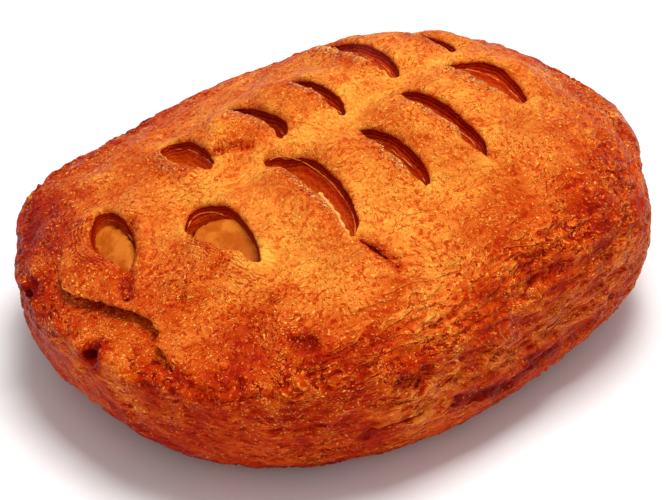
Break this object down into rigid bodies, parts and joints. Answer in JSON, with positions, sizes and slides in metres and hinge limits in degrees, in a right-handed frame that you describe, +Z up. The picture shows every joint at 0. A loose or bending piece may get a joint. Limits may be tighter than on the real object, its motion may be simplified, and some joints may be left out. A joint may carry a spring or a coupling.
{
  "type": "cheese puff pastry",
  "caption": "Oval, loaf-shaped cheese puff pastry with two rows of crescent slits across its domed top, folded ends and a soft cheese filling.",
  "frame": {"origin": "middle of the flat base, on the surface that the pastry lies on", "axes": "+X along the loaf towards its taller end, +Z up, the near row of slits on the -Y side"},
  "size_m": [0.1316, 0.102, 0.0513],
  "materials": {
    "baked_crust": "golden-brown baked puff pastry with an egg-wash sheen, darker in the slits",
    "cheese": "pale yellow melted soft cheese, moist"
  },
  "bodies": {
    "root": {"crust": "baked_crust", "cheese_filling": "cheese"}
  },
  "joints": []
}
